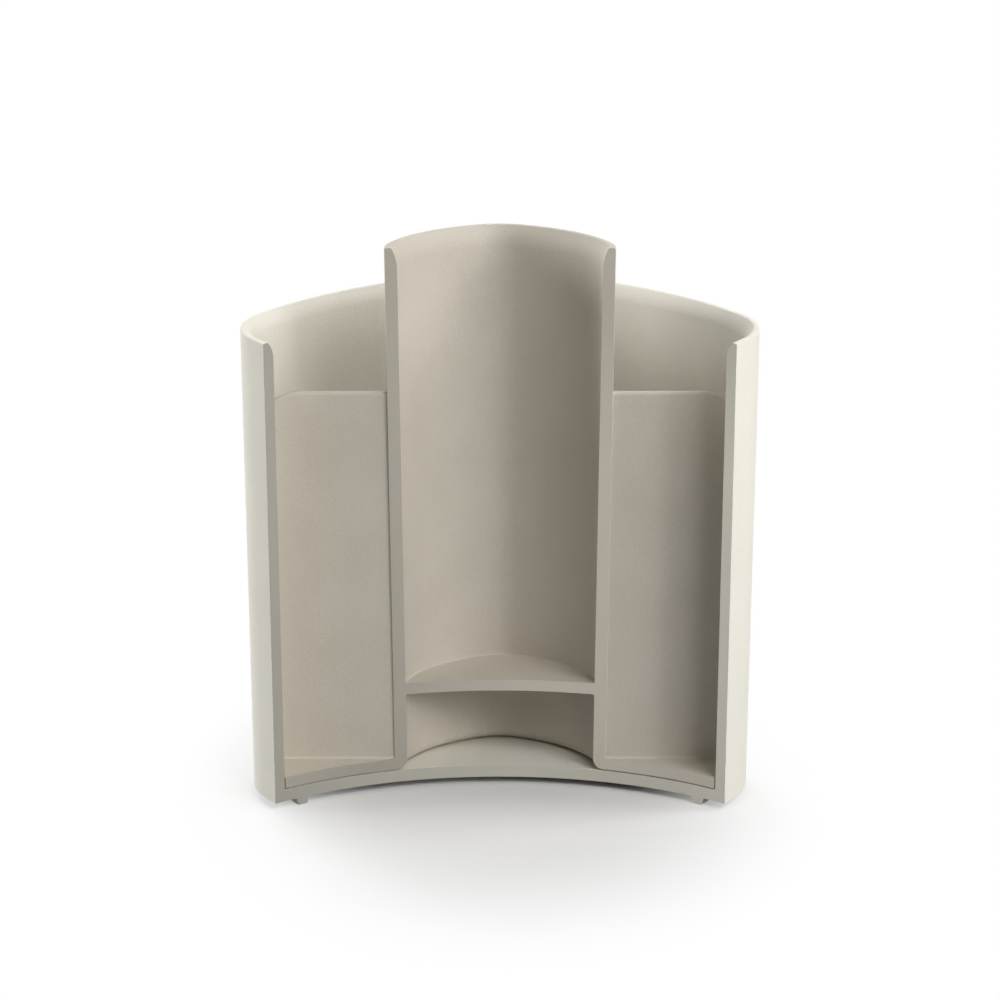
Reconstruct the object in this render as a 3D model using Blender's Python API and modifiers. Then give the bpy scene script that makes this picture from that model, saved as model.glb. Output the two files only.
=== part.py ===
"""Makeup brush pot, opened in front by one round section cut.

Two mouldings: an outer pot, and an insert that stands in it and lifts straight out.
Both have the plan of a soft square: bowed sides, round corners, the corners on X and Y.
Every height is above the surface that the pot stands on. The section tool is the last
step on each moulding, and without it both are whole.
"""
import math

import bmesh
import bpy

MM = 0.001

# Outer pot, in plan at its rim and in height
POT_CORNER_REACH = 60.0 * MM
POT_CORNER_RADIUS = 27.0 * MM
POT_SIDE_RADIUS = 106.5 * MM
POT_HEIGHT = 112.5 * MM
POT_NARROWING = 1.65 * MM
POT_WALL = 2.8 * MM
POT_FLOOR = 2.8 * MM
POT_LIP_FLAT = 1.3 * MM
POT_LIP_DEPTH = 3.8 * MM
POT_INNER_CORNER = 0.6 * MM

# Foot ring under the pot
FOOT_HEIGHT = 1.75 * MM
FOOT_INSET = 6.1 * MM
FOOT_WIDTH = 3.1 * MM
FOOT_TAPER = 0.6 * MM
FOOT_ROUND = 0.6 * MM

# Centre tube of the insert, in plan at its rim and in height
TUBE_CORNER_REACH = 26.7 * MM
TUBE_CORNER_RADIUS = 13.7 * MM
TUBE_SIDE_RADIUS = 36.9 * MM
TUBE_HEIGHT = 131.2 * MM
TUBE_NARROWING = 1.8 * MM
TUBE_WALL = 2.9 * MM
TUBE_LIP_FLAT = 1.5 * MM
TUBE_LIP_DEPTH = 5.0 * MM
TUBE_BOTTOM_ROUND = 2.5 * MM

# Floor, shelf and dividers of the insert
SEAT_GAP = 0.3 * MM
INSERT_FLOOR = 2.7 * MM
INSERT_EDGE_ROUND = 0.5 * MM
INSERT_FILLET = 0.5 * MM
SHELF_TOP = 26.0 * MM
SHELF_THICKNESS = 2.7 * MM
DIVIDER_TOP = 97.0 * MM
DIVIDER_THICKNESS = 2.0 * MM
DIVIDER_CORNER = 10.0 * MM
DIVIDER_ROUND = 0.8 * MM
DIVIDER_GAP = 0.4 * MM

# Small outer edge of both lips, and the section tool
EDGE_ROUND = 0.4 * MM
SECTION_RADIUS = 80.3 * MM
SECTION_APEX = 2.6 * MM
SECTION_OVERRUN = 5.0 * MM

# Facets: per half corner and per side in plan, per small arc and per lip in profile
CORNER_STEPS = 5
SIDE_STEPS = 12
ROUND_STEPS = 3
LIP_STEPS = 4
DIVIDER_STEPS = 8
SECTION_STEPS = 192

POT_PLAN = (POT_CORNER_REACH, POT_CORNER_RADIUS, POT_SIDE_RADIUS)
TUBE_PLAN = (TUBE_CORNER_REACH, TUBE_CORNER_RADIUS, TUBE_SIDE_RADIUS)
QUARTER = math.pi / 2

POT_FLOOR_TOP = FOOT_HEIGHT + POT_FLOOR
INSERT_UNDERSIDE = POT_FLOOR_TOP + SEAT_GAP
INSERT_FLOOR_TOP = INSERT_UNDERSIDE + INSERT_FLOOR


def pot_lean(height):
    """How far the pot's outer face lies inside its rim outline at a height."""
    return POT_NARROWING * (POT_HEIGHT - height) / POT_HEIGHT


def tube_lean(height):
    """How far the tube's outer face lies inside its rim outline at a height."""
    return TUBE_NARROWING * (TUBE_HEIGHT - height) / TUBE_HEIGHT


def side_centre(reach, corner, side):
    """Where a side arc is centred, the same distance along X and Y, to run smoothly into the corners."""
    middle = reach - corner
    return (middle - math.sqrt(2 * (side - corner) ** 2 - middle ** 2)) / 2


def axis_offset():
    """Y of the pot's axis that puts the middle of the opened pot's depth at zero.

    The front-most point is where the section circle meets the rim's side arc.
    """
    centre = side_centre(*POT_PLAN)
    section_y = SECTION_APEX - SECTION_RADIUS
    rise = -centre - section_y
    apart = math.hypot(centre, rise)
    along = (SECTION_RADIUS ** 2 - POT_SIDE_RADIUS ** 2 + apart ** 2) / (2 * apart)
    across = math.sqrt(SECTION_RADIUS ** 2 - along ** 2)
    front_y = section_y + (rise * along - centre * across) / apart
    return -(POT_CORNER_REACH + front_y) / 2


def arc(centre, radius, start, end, steps):
    """Points (inset, height) on an arc, both ends included."""
    points = []
    for step in range(steps + 1):
        angle = start + (end - start) * step / steps
        points.append((centre[0] + radius * math.cos(angle), centre[1] + radius * math.sin(angle)))
    return points


def plan_points(plan, inset):
    """Outline of a soft square, set in from its rim outline, anticlockwise from +X."""
    reach, corner, side = (size - inset for size in plan)
    middle = reach - corner
    centre = side_centre(reach, corner, side)
    turn = math.atan2(-centre, middle - centre)
    quarter = arc((middle, 0), corner, 0, turn, CORNER_STEPS)[:-1]
    quarter += arc((centre, centre), side, turn, QUARTER - turn, SIDE_STEPS)[:-1]
    quarter += arc((0, middle), corner, QUARTER - turn, QUARTER, CORNER_STEPS)[:-1]
    outline = []
    for _ in range(4):
        outline += quarter
        quarter = [(-y, x) for x, y in quarter]
    return outline


def loft(name, sections):
    """Closed solid through outlines (plan, inset, height), flat at the first and the last."""
    bm = bmesh.new()
    rings = []
    for plan, inset, height in sections:
        rings.append([bm.verts.new((x, y, height)) for x, y in plan_points(plan, inset)])
    for lower, upper in zip(rings, rings[1:]):
        for i, vert in enumerate(lower):
            bm.faces.new((vert, lower[i - 1], upper[i - 1], upper[i]))
    bm.faces.new(rings[0])
    bm.faces.new(rings[-1])
    bmesh.ops.recalc_face_normals(bm, faces=bm.faces)
    mesh = bpy.data.meshes.new(name)
    bm.to_mesh(mesh)
    bm.free()
    return mesh


def lip(height, lean, wall, flat, depth):
    """Profile over a lip: small outer edge, flat top, long inner curve down to the full wall."""
    top = height - EDGE_ROUND
    outer = lean(top) + EDGE_ROUND
    points = arc((outer, top), EDGE_ROUND, 2 * QUARTER, QUARTER, ROUND_STEPS)
    full = wall + lean(height - depth)
    fall = full - lean(height) - flat
    radius = (depth ** 2 + fall ** 2) / (2 * fall)
    start = math.asin(depth / radius)
    points += arc((full - radius, height - depth), radius, start, 0, LIP_STEPS)
    return points


def pot_profile():
    """From the underside inside the foot ring, round the outside, to the floor inside."""
    base = pot_lean(FOOT_HEIGHT)
    foot_outer = base + FOOT_INSET
    foot_inner = foot_outer + FOOT_WIDTH
    points = [(foot_inner, FOOT_HEIGHT)]
    points += arc((foot_inner - FOOT_ROUND, FOOT_ROUND), FOOT_ROUND, 0, -QUARTER, ROUND_STEPS)
    points += [(foot_outer + FOOT_TAPER, 0), (foot_outer, FOOT_HEIGHT), (base, FOOT_HEIGHT)]
    points += lip(POT_HEIGHT, pot_lean, POT_WALL, POT_LIP_FLAT, POT_LIP_DEPTH)
    low = POT_FLOOR_TOP + POT_INNER_CORNER
    inner = POT_WALL + pot_lean(low) + POT_INNER_CORNER
    points += arc((inner, low), POT_INNER_CORNER, 2 * QUARTER, 3 * QUARTER, ROUND_STEPS)
    return points


def insert_sections():
    """From the shelf's underside, out under the floor, up the tube, down to the shelf's top."""
    low = SHELF_TOP - SHELF_THICKNESS - INSERT_FILLET
    inner = TUBE_WALL + tube_lean(low) + INSERT_FILLET
    under = arc((inner, low), INSERT_FILLET, QUARTER, 2 * QUARTER, ROUND_STEPS)
    bend = INSERT_UNDERSIDE + TUBE_BOTTOM_ROUND
    inner = TUBE_WALL + tube_lean(bend) - TUBE_BOTTOM_ROUND
    under += arc((inner, bend), TUBE_BOTTOM_ROUND, 0, -QUARTER, ROUND_STEPS + 2)

    edge = POT_WALL + pot_lean(INSERT_UNDERSIDE) + SEAT_GAP + INSERT_EDGE_ROUND
    bottom = INSERT_UNDERSIDE + INSERT_EDGE_ROUND
    top = INSERT_FLOOR_TOP - INSERT_EDGE_ROUND
    rim = arc((edge, bottom), INSERT_EDGE_ROUND, 3 * QUARTER, 2 * QUARTER, ROUND_STEPS)
    rim += arc((edge, top), INSERT_EDGE_ROUND, 2 * QUARTER, QUARTER, ROUND_STEPS)

    foot = INSERT_FLOOR_TOP + INSERT_FILLET
    outer = tube_lean(foot) - INSERT_FILLET
    tube = arc((outer, foot), INSERT_FILLET, -QUARTER, 0, ROUND_STEPS)
    tube += lip(TUBE_HEIGHT, tube_lean, TUBE_WALL, TUBE_LIP_FLAT, TUBE_LIP_DEPTH)
    low = SHELF_TOP + INSERT_FILLET
    inner = TUBE_WALL + tube_lean(low) + INSERT_FILLET
    tube += arc((inner, low), INSERT_FILLET, 2 * QUARTER, 3 * QUARTER, ROUND_STEPS)

    sections = [(TUBE_PLAN, *point) for point in under]
    sections += [(POT_PLAN, *point) for point in rim]
    sections += [(TUBE_PLAN, *point) for point in tube]
    return sections


def divider_outline():
    """Outline (x, z) of one divider, from inside the tube's wall to near the pot's wall."""
    low = INSERT_FLOOR_TOP - INSERT_FLOOR / 2

    def inner_x(height):
        return TUBE_CORNER_REACH - tube_lean(height) - TUBE_WALL / 2

    def outer_x(height):
        return POT_CORNER_REACH - pot_lean(height) - POT_WALL - DIVIDER_GAP

    points = [(inner_x(DIVIDER_TOP), DIVIDER_TOP), (inner_x(low), low), (outer_x(low), low)]
    shoulder = DIVIDER_TOP - DIVIDER_CORNER
    corner = (outer_x(shoulder) - DIVIDER_CORNER, shoulder)
    points += arc(corner, DIVIDER_CORNER, 0, QUARTER, DIVIDER_STEPS)
    return points


def make_dividers(collection):
    """Both dividers as one helper, each a plate with rounded edges."""
    bm = bmesh.new()
    for hand in (1, -1):
        verts = [bm.verts.new((hand * x, -DIVIDER_THICKNESS / 2, z)) for x, z in divider_outline()]
        face = bm.faces.new(verts)
        grown = bmesh.ops.extrude_face_region(bm, geom=[face])["geom"]
        moved = [item for item in grown if isinstance(item, bmesh.types.BMVert)]
        bmesh.ops.translate(bm, verts=moved, vec=(0, DIVIDER_THICKNESS, 0))
    bmesh.ops.recalc_face_normals(bm, faces=bm.faces)
    mesh = bpy.data.meshes.new("dividers")
    bm.to_mesh(mesh)
    bm.free()
    dividers = add_object("dividers", mesh, collection)
    bevel = dividers.modifiers.new("rounded_edges", "BEVEL")
    bevel.width = DIVIDER_ROUND
    bevel.segments = 2
    bevel.limit_method = "ANGLE"
    return dividers


def make_section_tool(collection):
    """Upright round tool that opens the front of both mouldings."""
    bm = bmesh.new()
    depth = TUBE_HEIGHT + 2 * SECTION_OVERRUN
    bmesh.ops.create_cone(
        bm, cap_ends=True, segments=SECTION_STEPS, radius1=SECTION_RADIUS, radius2=SECTION_RADIUS, depth=depth
    )
    mesh = bpy.data.meshes.new("section_tool")
    bm.to_mesh(mesh)
    bm.free()
    tool = add_object("section_tool", mesh, collection)
    tool.location = (0, SECTION_APEX - SECTION_RADIUS, TUBE_HEIGHT / 2)
    return tool


def add_object(name, mesh, collection, parent=None):
    """Object in a collection, under a parent if there is one."""
    item = bpy.data.objects.new(name, mesh)
    item.parent = parent
    collection.objects.link(item)
    return item


def make_material(name, colour, roughness):
    """Moulded plastic."""
    material = bpy.data.materials.new(name)
    material.use_nodes = True
    shader = material.node_tree.nodes["Principled BSDF"]
    shader.inputs["Base Color"].default_value = (*colour, 1)
    shader.inputs["Roughness"].default_value = roughness
    shader.inputs["Metallic"].default_value = 0
    return material


def add_boolean(target, name, operation, tool):
    """One Boolean step on a moulding."""
    step = target.modifiers.new(name, "BOOLEAN")
    step.operation = operation
    step.solver = "EXACT"
    step.object = tool


def shade(mesh):
    """Smooth shading with crisp lines at real corners."""
    mesh.shade_smooth()
    mesh.set_sharp_from_angle(angle=math.radians(30))


def main():
    for item in list(bpy.data.objects):
        bpy.data.objects.remove(item, do_unlink=True)
    parts = bpy.data.collections.new("makeup_brush_pot")
    tools = bpy.data.collections.new("cutters")
    for collection in (parts, tools):
        bpy.context.scene.collection.children.link(collection)

    axis = bpy.data.objects.new("pot_axis", None)
    axis.location = (0, axis_offset(), 0)
    parts.objects.link(axis)

    pot = add_object("outer_pot", loft("outer_pot", [(POT_PLAN, *point) for point in pot_profile()]), parts, axis)
    insert = add_object("insert", loft("insert", insert_sections()), parts, axis)
    dividers = make_dividers(tools)
    section_tool = make_section_tool(tools)
    for helper in (dividers, section_tool):
        helper.parent = axis
        helper.hide_render = True
        helper.display_type = "WIRE"

    add_boolean(insert, "add_dividers", "UNION", dividers)
    add_boolean(insert, "open_front", "DIFFERENCE", section_tool)
    add_boolean(pot, "open_front", "DIFFERENCE", section_tool)

    pot.data.materials.append(make_material("pot_plastic", (0.66, 0.63, 0.54), 0.45))
    insert.data.materials.append(make_material("insert_plastic", (0.56, 0.51, 0.44), 0.45))
    for moulding in (pot, insert):
        shade(moulding.data)


main()
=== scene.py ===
"""Looks of the makeup brush pot: fine versions of both mouldings, satin plastic, soft studio light."""
import math

import bmesh
import bpy
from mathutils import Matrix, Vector


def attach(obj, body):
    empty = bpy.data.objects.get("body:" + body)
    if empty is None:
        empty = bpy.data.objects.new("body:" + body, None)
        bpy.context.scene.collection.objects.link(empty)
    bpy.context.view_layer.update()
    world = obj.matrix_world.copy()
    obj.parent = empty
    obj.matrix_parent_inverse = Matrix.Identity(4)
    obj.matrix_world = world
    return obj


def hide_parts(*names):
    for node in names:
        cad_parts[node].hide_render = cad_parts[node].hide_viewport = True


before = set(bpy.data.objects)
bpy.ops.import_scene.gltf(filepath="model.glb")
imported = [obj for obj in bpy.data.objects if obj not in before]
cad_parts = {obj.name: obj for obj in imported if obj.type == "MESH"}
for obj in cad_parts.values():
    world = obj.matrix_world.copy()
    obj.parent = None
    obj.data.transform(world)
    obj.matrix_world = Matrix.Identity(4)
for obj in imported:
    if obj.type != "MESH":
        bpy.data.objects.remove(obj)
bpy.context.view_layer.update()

MM = 0.001
QUARTER = math.pi / 2

# Outlines: corner reach, corner radius, side radius at the rim
POT_PLAN = (60.0 * MM, 27.0 * MM, 106.5 * MM)
TUBE_PLAN = (26.7 * MM, 13.7 * MM, 36.9 * MM)
POT_HEIGHT, POT_NARROWING, POT_WALL, POT_FLOOR = 112.5 * MM, 1.65 * MM, 2.8 * MM, 2.8 * MM
POT_LIP_FLAT, POT_LIP_DEPTH, POT_INNER_CORNER = 1.3 * MM, 3.8 * MM, 0.6 * MM
FOOT_HEIGHT, FOOT_INSET, FOOT_WIDTH = 1.75 * MM, 6.1 * MM, 3.1 * MM
FOOT_TAPER, FOOT_ROUND = 0.6 * MM, 0.6 * MM
TUBE_HEIGHT, TUBE_NARROWING, TUBE_WALL = 131.2 * MM, 1.8 * MM, 2.9 * MM
TUBE_LIP_FLAT, TUBE_LIP_DEPTH, TUBE_BOTTOM_ROUND = 1.5 * MM, 5.0 * MM, 2.5 * MM
SEAT_GAP, INSERT_FLOOR, INSERT_EDGE_ROUND, INSERT_FILLET = 0.3 * MM, 2.7 * MM, 0.5 * MM, 0.5 * MM
SHELF_TOP, SHELF_THICKNESS = 26.0 * MM, 2.7 * MM
DIVIDER_TOP, DIVIDER_THICKNESS, DIVIDER_CORNER = 97.0 * MM, 2.0 * MM, 10.0 * MM
DIVIDER_ROUND, DIVIDER_GAP, EDGE_ROUND = 0.8 * MM, 0.4 * MM, 0.4 * MM
FLOOR_FILLET, TUBE_FILLET, FILLET_BURY, FILLET_SINK = 0.6 * MM, 0.2 * MM, 0.5 * MM, 0.1 * MM
SECTION_RADIUS, SECTION_APEX, SECTION_NEAR = 80.3 * MM, 2.6 * MM, 0.01 * MM
SECTION_STEPS = 576
FLOOR_COLOUR, FLOOR_WHITE = 0.35, 0.8
SHADOW_REACH = (80.0 * MM, 125.0 * MM)
# Height above which the painted light on the right of the cut faces fades towards the top
CUT_SHADE_FADE_HEIGHT = 80.0 * MM
LAMP_DISTANCE, AIM_HEIGHT = 1.3, 0.06
CAMERA_BACK, CAMERA_HEIGHT, CAMERA_TILT = 0.9705, 0.3366, 0.2673

CORNER_STEPS, SIDE_STEPS, ROUND_STEPS, LIP_STEPS, DIVIDER_STEPS = 15, 36, 6, 16, 24

POT_FLOOR_TOP = FOOT_HEIGHT + POT_FLOOR
INSERT_UNDERSIDE = POT_FLOOR_TOP + SEAT_GAP
INSERT_FLOOR_TOP = INSERT_UNDERSIDE + INSERT_FLOOR


def pot_lean(height):
    return POT_NARROWING * (POT_HEIGHT - height) / POT_HEIGHT


def tube_lean(height):
    return TUBE_NARROWING * (TUBE_HEIGHT - height) / TUBE_HEIGHT


def side_centre(reach, corner, side):
    middle = reach - corner
    return (middle - math.sqrt(2 * (side - corner) ** 2 - middle ** 2)) / 2


def axis_offset():
    centre = side_centre(*POT_PLAN)
    section_y = SECTION_APEX - SECTION_RADIUS
    rise = -centre - section_y
    apart = math.hypot(centre, rise)
    along = (SECTION_RADIUS ** 2 - POT_PLAN[2] ** 2 + apart ** 2) / (2 * apart)
    across = math.sqrt(SECTION_RADIUS ** 2 - along ** 2)
    return -(POT_PLAN[0] + section_y + (rise * along - centre * across) / apart) / 2


AXIS_Y = axis_offset()


def arc(centre, radius, start, end, steps):
    angles = [start + (end - start) * i / steps for i in range(steps + 1)]
    return [(centre[0] + radius * math.cos(a), centre[1] + radius * math.sin(a)) for a in angles]


def plan_points(plan, inset):
    """Outline of a soft square, set in from its rim outline."""
    reach, corner, side = (size - inset for size in plan)
    middle = reach - corner
    centre = side_centre(reach, corner, side)
    turn = math.atan2(-centre, middle - centre)
    quarter = arc((middle, 0), corner, 0, turn, CORNER_STEPS)[:-1]
    quarter += arc((centre, centre), side, turn, QUARTER - turn, SIDE_STEPS)[:-1]
    quarter += arc((0, middle), corner, QUARTER - turn, QUARTER, CORNER_STEPS)[:-1]
    outline = []
    for _ in range(4):
        outline += quarter
        quarter = [(-y, x) for x, y in quarter]
    return outline


def loft(name, sections):
    """Closed solid through outlines (plan, inset, height)."""
    bm = bmesh.new()
    rings = []
    for plan, inset, z in sections:
        rings.append([bm.verts.new((x, y + AXIS_Y, z)) for x, y in plan_points(plan, inset)])
    for lower, upper in zip(rings, rings[1:]):
        for i, vert in enumerate(lower):
            bm.faces.new((vert, lower[i - 1], upper[i - 1], upper[i]))
    bm.faces.new(rings[0])
    bm.faces.new(rings[-1])
    bmesh.ops.recalc_face_normals(bm, faces=bm.faces)
    return to_object(name, bm)


def to_object(name, bm):
    mesh = bpy.data.meshes.new(name)
    bm.to_mesh(mesh)
    bm.free()
    item = bpy.data.objects.new(name, mesh)
    bpy.context.scene.collection.objects.link(item)
    return item


def lip(height, lean, wall, flat, depth):
    """Small outer edge, flat top, long inner curve down to the full wall."""
    top = height - EDGE_ROUND
    points = arc((lean(top) + EDGE_ROUND, top), EDGE_ROUND, 2 * QUARTER, QUARTER, ROUND_STEPS)
    full = wall + lean(height - depth)
    fall = full - lean(height) - flat
    radius = (depth ** 2 + fall ** 2) / (2 * fall)
    return points + arc((full - radius, height - depth), radius, math.asin(depth / radius), 0, LIP_STEPS)


def pot_sections():
    base = pot_lean(FOOT_HEIGHT)
    foot_outer = base + FOOT_INSET
    foot_inner = foot_outer + FOOT_WIDTH
    points = [(foot_inner, FOOT_HEIGHT)]
    points += arc((foot_inner - FOOT_ROUND, FOOT_ROUND), FOOT_ROUND, 0, -QUARTER, ROUND_STEPS)
    points += [(foot_outer + FOOT_TAPER, 0), (foot_outer, FOOT_HEIGHT), (base, FOOT_HEIGHT)]
    points += lip(POT_HEIGHT, pot_lean, POT_WALL, POT_LIP_FLAT, POT_LIP_DEPTH)
    low = POT_FLOOR_TOP + POT_INNER_CORNER
    inner = POT_WALL + pot_lean(low) + POT_INNER_CORNER
    points += arc((inner, low), POT_INNER_CORNER, 2 * QUARTER, 3 * QUARTER, ROUND_STEPS)
    return [(POT_PLAN, *point) for point in points]


def insert_sections():
    low = SHELF_TOP - SHELF_THICKNESS - INSERT_FILLET
    inner = TUBE_WALL + tube_lean(low) + INSERT_FILLET
    under = arc((inner, low), INSERT_FILLET, QUARTER, 2 * QUARTER, ROUND_STEPS)
    bend = INSERT_UNDERSIDE + TUBE_BOTTOM_ROUND
    inner = TUBE_WALL + tube_lean(bend) - TUBE_BOTTOM_ROUND
    under += arc((inner, bend), TUBE_BOTTOM_ROUND, 0, -QUARTER, 2 * ROUND_STEPS)
    edge = POT_WALL + pot_lean(INSERT_UNDERSIDE) + SEAT_GAP + INSERT_EDGE_ROUND
    bottom = INSERT_UNDERSIDE + INSERT_EDGE_ROUND
    top = INSERT_FLOOR_TOP - INSERT_EDGE_ROUND
    rim = arc((edge, bottom), INSERT_EDGE_ROUND, 3 * QUARTER, 2 * QUARTER, ROUND_STEPS)
    rim += arc((edge, top), INSERT_EDGE_ROUND, 2 * QUARTER, QUARTER, ROUND_STEPS)
    foot = INSERT_FLOOR_TOP + INSERT_FILLET
    outer = tube_lean(foot) - INSERT_FILLET
    tube = arc((outer, foot), INSERT_FILLET, -QUARTER, 0, ROUND_STEPS)
    tube += lip(TUBE_HEIGHT, tube_lean, TUBE_WALL, TUBE_LIP_FLAT, TUBE_LIP_DEPTH)
    low = SHELF_TOP + INSERT_FILLET
    inner = TUBE_WALL + tube_lean(low) + INSERT_FILLET
    tube += arc((inner, low), INSERT_FILLET, 2 * QUARTER, 3 * QUARTER, ROUND_STEPS)
    sections = [(TUBE_PLAN, *point) for point in under]
    sections += [(POT_PLAN, *point) for point in rim]
    return sections + [(TUBE_PLAN, *point) for point in tube]


def divider_outline():
    low = INSERT_FLOOR_TOP - INSERT_FLOOR / 2
    shoulder = DIVIDER_TOP - DIVIDER_CORNER

    def inner_x(height):
        return TUBE_PLAN[0] - tube_lean(height) - TUBE_WALL / 2

    def outer_x(height):
        return POT_PLAN[0] - pot_lean(height) - POT_WALL - DIVIDER_GAP

    points = [(inner_x(DIVIDER_TOP), DIVIDER_TOP), (inner_x(low), low), (outer_x(low), low)]
    corner = (outer_x(shoulder) - DIVIDER_CORNER, shoulder)
    return points + arc(corner, DIVIDER_CORNER, 0, QUARTER, DIVIDER_STEPS)


def make_dividers():
    bm = bmesh.new()
    for hand in (1, -1):
        verts = [bm.verts.new((hand * x, AXIS_Y - DIVIDER_THICKNESS / 2, z)) for x, z in divider_outline()]
        grown = bmesh.ops.extrude_face_region(bm, geom=[bm.faces.new(verts)])["geom"]
        moved = [item for item in grown if isinstance(item, bmesh.types.BMVert)]
        bmesh.ops.translate(bm, verts=moved, vec=(0, DIVIDER_THICKNESS, 0))
    bmesh.ops.recalc_face_normals(bm, faces=bm.faces)
    dividers = to_object("dividers_tool", bm)
    bevel = dividers.modifiers.new("rounded_edges", "BEVEL")
    bevel.width, bevel.segments, bevel.limit_method = DIVIDER_ROUND, 5, "ANGLE"
    return dividers


def prism(bm, near, far):
    """Closed bar between two outlines that match point for point."""
    rings = [[bm.verts.new(point) for point in outline] for outline in (near, far)]
    for i in range(len(near)):
        bm.faces.new((rings[0][i], rings[0][i - 1], rings[1][i - 1], rings[1][i]))
    bm.faces.new(rings[0])
    bm.faces.new(rings[1])


def fillet_outline(radius):
    """Hollow corner (away from the divider, away from the other wall), buried a little in both."""
    hollow = arc((radius, radius), radius, 3 * QUARTER, 2 * QUARTER, 2 * ROUND_STEPS)
    back = -FILLET_BURY
    return [(back, back), (radius, back)] + hollow + [(back, radius)]


def make_fillets(along_tube):
    """Small hollow fillets where the dividers meet the floor, or the tube."""
    bm = bmesh.new()
    half = DIVIDER_THICKNESS / 2
    for hand in (1, -1):
        for side in (1, -1):
            if along_tube:
                bars, outline = [], fillet_outline(TUBE_FILLET)
                for z in (INSERT_FLOOR_TOP - FILLET_BURY, DIVIDER_TOP - DIVIDER_ROUND):
                    wall = TUBE_PLAN[0] - tube_lean(z) - FILLET_SINK
                    bars.append([(hand * (wall + v), AXIS_Y + side * (half + u), z) for u, v in outline])
            else:
                outline = fillet_outline(FLOOR_FILLET)
                inner = TUBE_PLAN[0] - tube_lean(INSERT_FLOOR_TOP) - TUBE_WALL / 2
                outer = POT_PLAN[0] - pot_lean(INSERT_FLOOR_TOP) - POT_WALL - DIVIDER_GAP - DIVIDER_ROUND
                bars = [[(hand * x, AXIS_Y + side * (half + u), INSERT_FLOOR_TOP + v) for u, v in outline]
                        for x in (inner, outer)]
            prism(bm, *bars)
    bmesh.ops.recalc_face_normals(bm, faces=bm.faces)
    return to_object("fillets_tool", bm)


def make_section_tool():
    bm = bmesh.new()
    bmesh.ops.create_cone(
        bm, cap_ends=True, segments=SECTION_STEPS, radius1=SECTION_RADIUS, radius2=SECTION_RADIUS,
        depth=2 * TUBE_HEIGHT,
    )
    bmesh.ops.translate(bm, verts=bm.verts, vec=(0, AXIS_Y + SECTION_APEX - SECTION_RADIUS, TUBE_HEIGHT / 2))
    return to_object("section_tool", bm)


def boolean(target, operation, tool):
    step = target.modifiers.new(operation.lower(), "BOOLEAN")
    step.operation, step.solver, step.object = operation, "EXACT", tool


def bake(item):
    """Applies the modifiers and shades the result smoothly, crisp at real corners."""
    evaluated = item.evaluated_get(bpy.context.evaluated_depsgraph_get())
    mesh = bpy.data.meshes.new_from_object(evaluated)
    mesh.shade_smooth()
    mesh.set_sharp_from_angle(angle=math.radians(24))
    item.modifiers.clear()
    item.data = mesh


def paint_cut(item, moulded, cut):
    """First material on the moulded surfaces, second on the faces that the section cut left."""
    item.data.materials.append(moulded)
    item.data.materials.append(cut)
    centre = Vector((0, AXIS_Y + SECTION_APEX - SECTION_RADIUS))
    for face in item.data.polygons:
        reach = [(item.data.vertices[i].co.to_2d() - centre).length for i in face.vertices]
        if all(abs(r - SECTION_RADIUS) < SECTION_NEAR for r in reach):
            face.material_index = 1


def node(tree, kind, inputs=None, **settings):
    made = tree.nodes.new(kind)
    for key, value in settings.items():
        setattr(made, key, value)
    for key, value in (inputs or {}).items():
        if isinstance(value, bpy.types.NodeSocket):
            tree.links.new(value, made.inputs[key])
        else:
            made.inputs[key].default_value = value
    return made


def satin_plastic(name, light, dark, roughness):
    """Moulded plastic: nearly even colour, faint slow mottling, fine satin grain."""
    material = bpy.data.materials.new(name)
    material.use_nodes = True
    tree = material.node_tree
    shader = tree.nodes["Principled BSDF"]
    place = node(tree, "ShaderNodeTexCoord").outputs["Object"]
    mottle = node(tree, "ShaderNodeTexNoise", {"Vector": place, "Scale": 55.0, "Detail": 3.0})
    fine = node(tree, "ShaderNodeTexNoise", {"Vector": place, "Scale": 1900.0, "Detail": 2.0})
    both = node(tree, "ShaderNodeMath", {0: mottle.outputs["Fac"], 1: fine.outputs["Fac"]}, operation="ADD")
    tint = node(tree, "ShaderNodeMapRange", {"Value": both.outputs[0], "From Min": 0.7, "From Max": 1.3})
    ramp = node(tree, "ShaderNodeValToRGB", {"Fac": tint.outputs["Result"]})
    ramp.color_ramp.elements[0].color = (*dark, 1)
    ramp.color_ramp.elements[1].color = (*light, 1)
    tree.links.new(ramp.outputs["Color"], shader.inputs["Base Color"])
    rough = node(tree, "ShaderNodeMapRange", {"Value": fine.outputs["Fac"], "From Min": 0.3, "From Max": 0.7,
                                              "To Min": roughness - 0.04, "To Max": roughness + 0.04})
    tree.links.new(rough.outputs["Result"], shader.inputs["Roughness"])
    bump = node(tree, "ShaderNodeBump", {"Height": fine.outputs["Fac"], "Strength": 0.7, "Distance": 0.00008})
    tree.links.new(bump.outputs["Normal"], shader.inputs["Normal"])
    shader.inputs["IOR"].default_value = 1.46
    shader.inputs["Specular IOR Level"].default_value = 0.25
    return material


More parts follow.
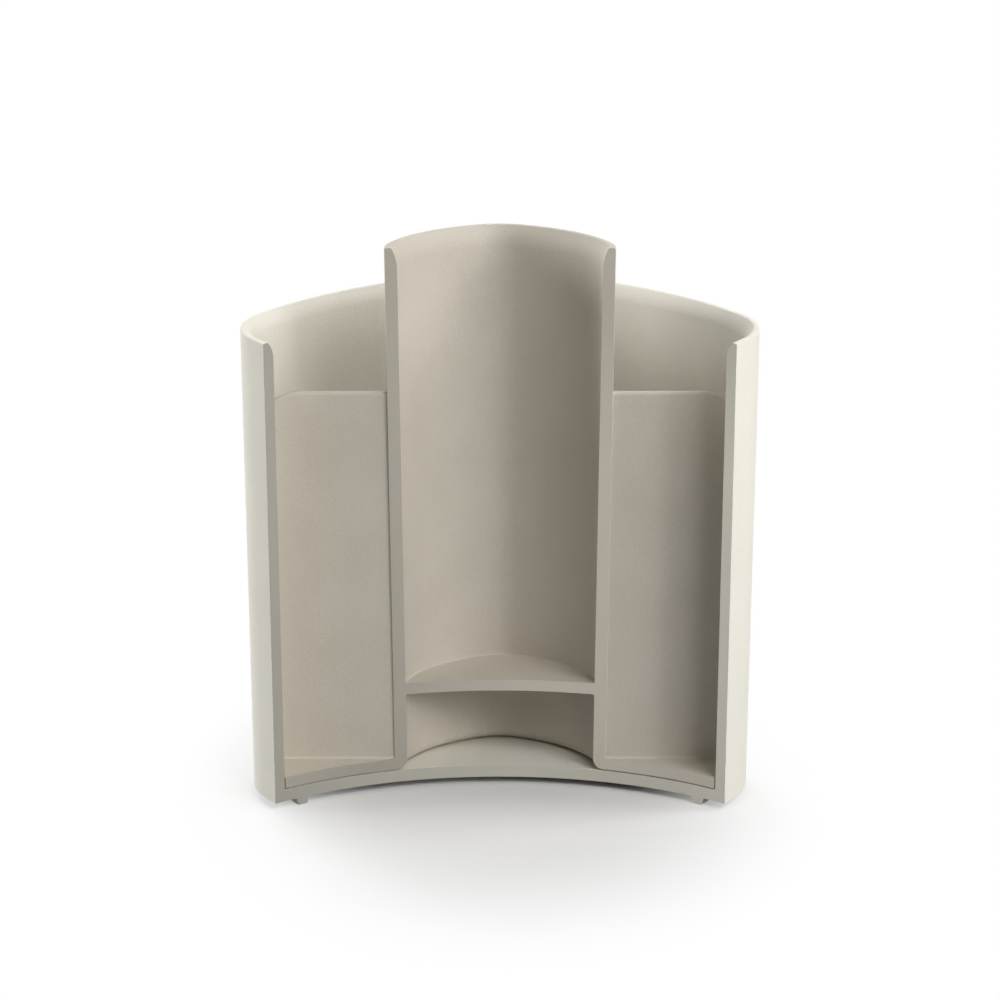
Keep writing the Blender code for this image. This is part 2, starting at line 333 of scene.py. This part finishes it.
def painted_shade_cut_plastic(name, half_width, left, right):
    """Smooth cut face with painted light and shade: darker towards the left end, lighter low down on the
    right.
    """
    material = bpy.data.materials.new(name)
    material.use_nodes = True
    tree = material.node_tree
    shader = tree.nodes["Principled BSDF"]
    place = node(tree, "ShaderNodeTexCoord").outputs["Object"]
    along = node(tree, "ShaderNodeSeparateXYZ", {"Vector": place})
    # Painted shade: tone runs from dark on the left to light on the right, and the light share halves towards
    # the top
    across = node(tree, "ShaderNodeMapRange", {"Value": along.outputs["X"], "From Min": -half_width,
                                               "From Max": half_width})
    fade = node(tree, "ShaderNodeMapRange", {"Value": along.outputs["Z"], "From Min": CUT_SHADE_FADE_HEIGHT,
                                             "From Max": POT_HEIGHT, "To Min": 1.0, "To Max": 0.5})
    share = node(tree, "ShaderNodeMath", {0: across.outputs[0], 1: fade.outputs[0]}, operation="MULTIPLY")
    ramp = node(tree, "ShaderNodeValToRGB", {"Fac": share.outputs[0]})
    ramp.color_ramp.elements[0].color = (*left, 1)
    ramp.color_ramp.elements[1].color = (*right, 1)
    tree.links.new(ramp.outputs["Color"], shader.inputs["Base Color"])
    shader.inputs["Roughness"].default_value = 0.5
    shader.inputs["Specular IOR Level"].default_value = 0.25
    return material


pot = loft("pot_moulding", pot_sections())
insert = loft("insert_moulding", insert_sections())
dividers, section_tool = make_dividers(), make_section_tool()
floor_fillets, tube_fillets = make_fillets(False), make_fillets(True)
for tool in (dividers, floor_fillets, tube_fillets):
    boolean(insert, "UNION", tool)
boolean(insert, "DIFFERENCE", section_tool)
boolean(pot, "DIFFERENCE", section_tool)
for item in (pot, insert):
    bake(item)
for tool in (dividers, floor_fillets, tube_fillets, section_tool):
    bpy.data.objects.remove(tool)

pot_look = satin_plastic("pot_plastic_look", (0.78, 0.752, 0.672), (0.73, 0.702, 0.622), 0.55)
insert_look = satin_plastic("insert_plastic_look", (0.57, 0.529, 0.459), (0.52, 0.479, 0.409), 0.55)
# Cut faces carry painted shade: dark on the left, light low down on the right
pot_painted_shade_cut = painted_shade_cut_plastic("pot_painted_shade_cut_look", 0.056, (0.325, 0.308, 0.264), (0.86, 0.826, 0.72))
insert_painted_shade_cut = painted_shade_cut_plastic("insert_painted_shade_cut_look", 0.028, (0.375, 0.347, 0.297), (0.725, 0.67, 0.582))
paint_cut(pot, pot_look, pot_painted_shade_cut)
paint_cut(insert, insert_look, insert_painted_shade_cut)

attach(pot, "pot")
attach(insert, "insert")
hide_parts("outer_pot")
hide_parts("insert")
for cad_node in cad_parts.values():
    cad_node.data.materials.clear()
    look = "pot_plastic_look" if cad_node.name == "outer_pot" else "insert_plastic_look"
    cad_node.data.materials.append(bpy.data.materials[look])


bm = bmesh.new()
bmesh.ops.create_grid(bm, x_segments=1, y_segments=1, size=4)
floor = to_object("floor", bm)
floor_look = bpy.data.materials.new("floor_look")
floor_look.use_nodes = True
tree = floor_look.node_tree
tree.nodes.clear()
path = node(tree, "ShaderNodeLightPath").outputs
seen = node(tree, "ShaderNodeMath", {0: path["Is Camera Ray"], 1: path["Is Glossy Ray"]}, operation="MAXIMUM")
seen = node(tree, "ShaderNodeMath", {0: seen.outputs[0], 1: path["Is Transmission Ray"]}, operation="MAXIMUM")
level = node(tree, "ShaderNodeMapRange", {"Value": seen.outputs[0], "To Min": FLOOR_COLOUR,
                                          "To Max": FLOOR_WHITE})
lit = node(tree, "ShaderNodeBsdfDiffuse", {"Color": level.outputs["Result"]})
plain = node(tree, "ShaderNodeEmission", {"Color": (1, 1, 1, 1), "Strength": 1.0})
place = node(tree, "ShaderNodeTexCoord").outputs["Object"]
spread = node(tree, "ShaderNodeMapping", {"Vector": place, "Location": (0, -AXIS_Y / SHADOW_REACH[1], 0),
                                          "Scale": (1 / SHADOW_REACH[0], 1 / SHADOW_REACH[1], 0)})
reach = node(tree, "ShaderNodeVectorMath", {0: spread.outputs[0]}, operation="LENGTH")
fade = node(tree, "ShaderNodeMapRange", {"Value": reach.outputs["Value"], "From Min": 0.35},
            interpolation_type="SMOOTHSTEP")
open_floor = node(tree, "ShaderNodeMath", {0: seen.outputs[0], 1: fade.outputs[0]}, operation="MULTIPLY")
mix = node(tree, "ShaderNodeMixShader", {0: open_floor.outputs[0], 1: lit.outputs[0], 2: plain.outputs[0]})
node(tree, "ShaderNodeOutputMaterial", {"Surface": mix.outputs[0]})
floor.data.materials.append(floor_look)


def area_light(name, at, size, power, sheen=True):
    """Soft lamp aimed at the middle of the object; without sheen it leaves no highlight."""
    data = bpy.data.lights.new(name, "AREA")
    data.shape, data.size, data.size_y, data.energy = "RECTANGLE", size[0], size[1], power
    lamp = bpy.data.objects.new(name, data)
    bpy.context.scene.collection.objects.link(lamp)
    lamp.location = at
    lamp.rotation_euler = (Vector((0, 0, AIM_HEIGHT)) - Vector(at)).to_track_quat("-Z", "Y").to_euler()
    lamp.visible_camera = False
    lamp.visible_glossy = sheen


def around(azimuth, elevation):
    """Lamp place round the object; azimuth 0 is to the right, 90 behind it."""
    a, e = math.radians(azimuth), math.radians(elevation)
    level = LAMP_DISTANCE * math.cos(e)
    return level * math.cos(a), level * math.sin(a), AIM_HEIGHT + LAMP_DISTANCE * math.sin(e)


area_light("front_right", around(300, 40), (0.6, 0.6), 8.1)
area_light("right_low", around(322, 15), (0.6, 0.4), 4.8)
area_light("right", around(0, 40), (0.6, 0.6), 6.7)
area_light("left", around(180, 15), (0.6, 0.4), 6.5)
area_light("rear_high", around(117, 40), (0.6, 0.6), 8.0, sheen=False)
area_light("rear_left", around(150, 15), (0.6, 0.4), 5.0, sheen=False)

world = bpy.data.worlds.new("studio")
bpy.context.scene.world = world
world.use_nodes = True
tree = world.node_tree
tree.nodes.clear()
path = node(tree, "ShaderNodeLightPath").outputs
seen = node(tree, "ShaderNodeMath", {0: path["Is Camera Ray"], 1: path["Is Glossy Ray"]}, operation="MAXIMUM")
seen = node(tree, "ShaderNodeMath", {0: seen.outputs[0], 1: path["Is Transmission Ray"]}, operation="MAXIMUM")
ambient = node(tree, "ShaderNodeBackground", {"Color": (1, 1, 1, 1), "Strength": 0.1})
white = node(tree, "ShaderNodeBackground", {"Color": (1, 1, 1, 1), "Strength": 1.0})
mix = node(tree, "ShaderNodeMixShader", {0: seen.outputs[0], 1: ambient.outputs[0], 2: white.outputs[0]})
node(tree, "ShaderNodeOutputWorld", {"Surface": mix.outputs[0]})

camera_data = bpy.data.cameras.new("camera")
camera = bpy.data.objects.new("camera", camera_data)
bpy.context.scene.collection.objects.link(camera)
camera.location = (0, AXIS_Y - CAMERA_BACK, CAMERA_HEIGHT)
camera.rotation_euler = (QUARTER - CAMERA_TILT, 0, 0)
camera_data.lens = 155.1
camera_data.sensor_width = 36
camera_data.clip_start, camera_data.clip_end = 0.05, 20
camera_data.dof.use_dof = False
bpy.context.scene.camera = camera
bpy.context.scene.view_settings.view_transform = "Standard"
